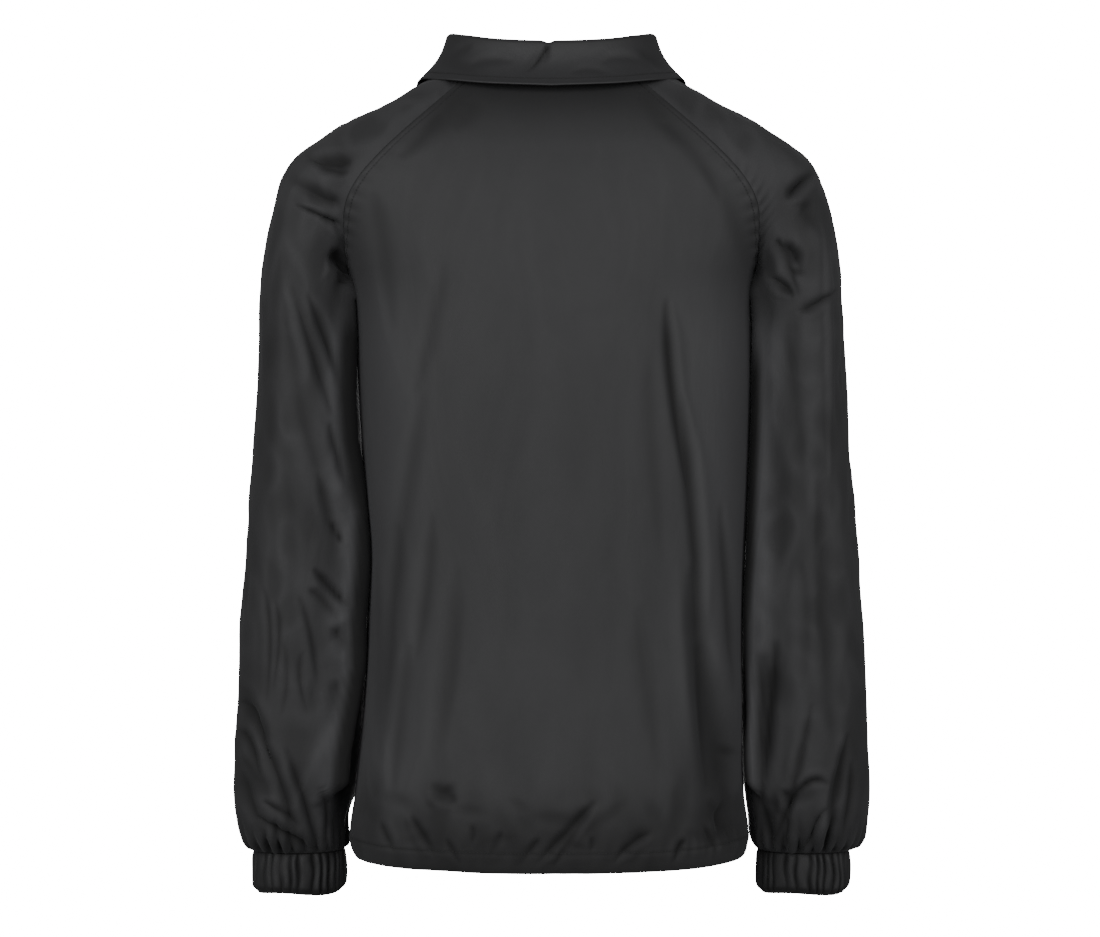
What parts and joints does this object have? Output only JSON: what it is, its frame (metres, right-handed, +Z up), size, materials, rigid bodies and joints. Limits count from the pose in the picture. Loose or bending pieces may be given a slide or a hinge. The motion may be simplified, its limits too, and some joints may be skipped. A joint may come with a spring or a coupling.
{
  "type": "coach jacket",
  "caption": "Coach jacket in its worn shape: raglan sleeves, turned-down collar, gathered cuffs, snap front and stitched casing hem.",
  "frame": {"origin": "middle of the neck, level with the shoulder seams' upper ends, where the wearer's neck and shoulders hold the jacket", "axes": "+Z up along the body, -Y towards the front, +X towards the wearer's left"},
  "size_m": [0.5984, 0.2872, 0.8064],
  "materials": {
    "body_cloth": "satin nylon plain weave",
    "sleeve_cloth": "satin nylon plain weave",
    "cuff_cloth": "gathered satin nylon",
    "snap_enamel": "satin enamel"
  },
  "bodies": {
    "root": {"back_panel": "body_cloth", "front_left": "body_cloth", "front_right": "body_cloth", "sleeve_left": "sleeve_cloth", "sleeve_right": "sleeve_cloth", "collar": "body_cloth", "cuff_left": "cuff_cloth", "cuff_right": "cuff_cloth", "snap_1": "snap_enamel", "snap_2": "snap_enamel", "snap_3": "snap_enamel", "snap_4": "snap_enamel", "snap_5": "snap_enamel", "snap_6": "snap_enamel"}
  },
  "joints": []
}
